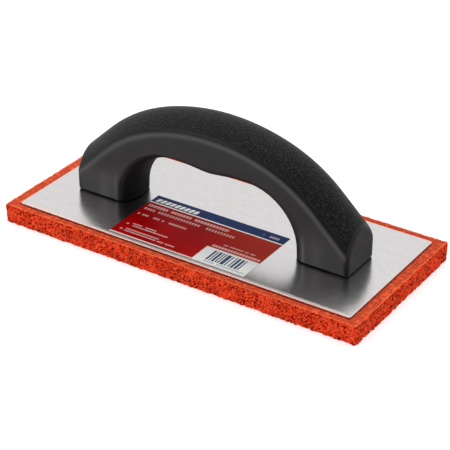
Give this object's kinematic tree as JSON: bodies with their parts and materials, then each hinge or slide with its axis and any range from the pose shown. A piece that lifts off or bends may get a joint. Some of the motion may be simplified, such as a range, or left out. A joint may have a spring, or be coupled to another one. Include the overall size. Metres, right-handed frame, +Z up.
{
  "type": "grout float",
  "caption": "Coarse rubber grout float: a sponge rubber pad bonded to an aluminium plate, with an arched moulded plastic handle and a printed label.",
  "frame": {"origin": "middle of the pad's working face, at the centre of the bottom of the bounding box", "axes": "+X along the pad and the handle, +Y across the pad, +Z up from the working face to the handle"},
  "size_m": [0.2286, 0.1016, 0.0773],
  "materials": {
    "orange_rubber": "coarse open-cell sponge rubber, matte, fabric-marked top",
    "contact_glue": "dried contact adhesive",
    "sheet_aluminium": "smooth mill finish",
    "black_plastic": "smooth flanks, grained crown",
    "label_film": "printed film, semi-gloss",
    "screw_steel": "zinc plated"
  },
  "bodies": {
    "root": {"rubber_pad": "orange_rubber", "bond_layer": "contact_glue", "backing_plate": "sheet_aluminium", "handle": "black_plastic", "label_sticker": "label_film", "screw_left_outer": "screw_steel", "screw_left_inner": "screw_steel", "screw_right_inner": "screw_steel", "screw_right_outer": "screw_steel"}
  },
  "joints": []
}
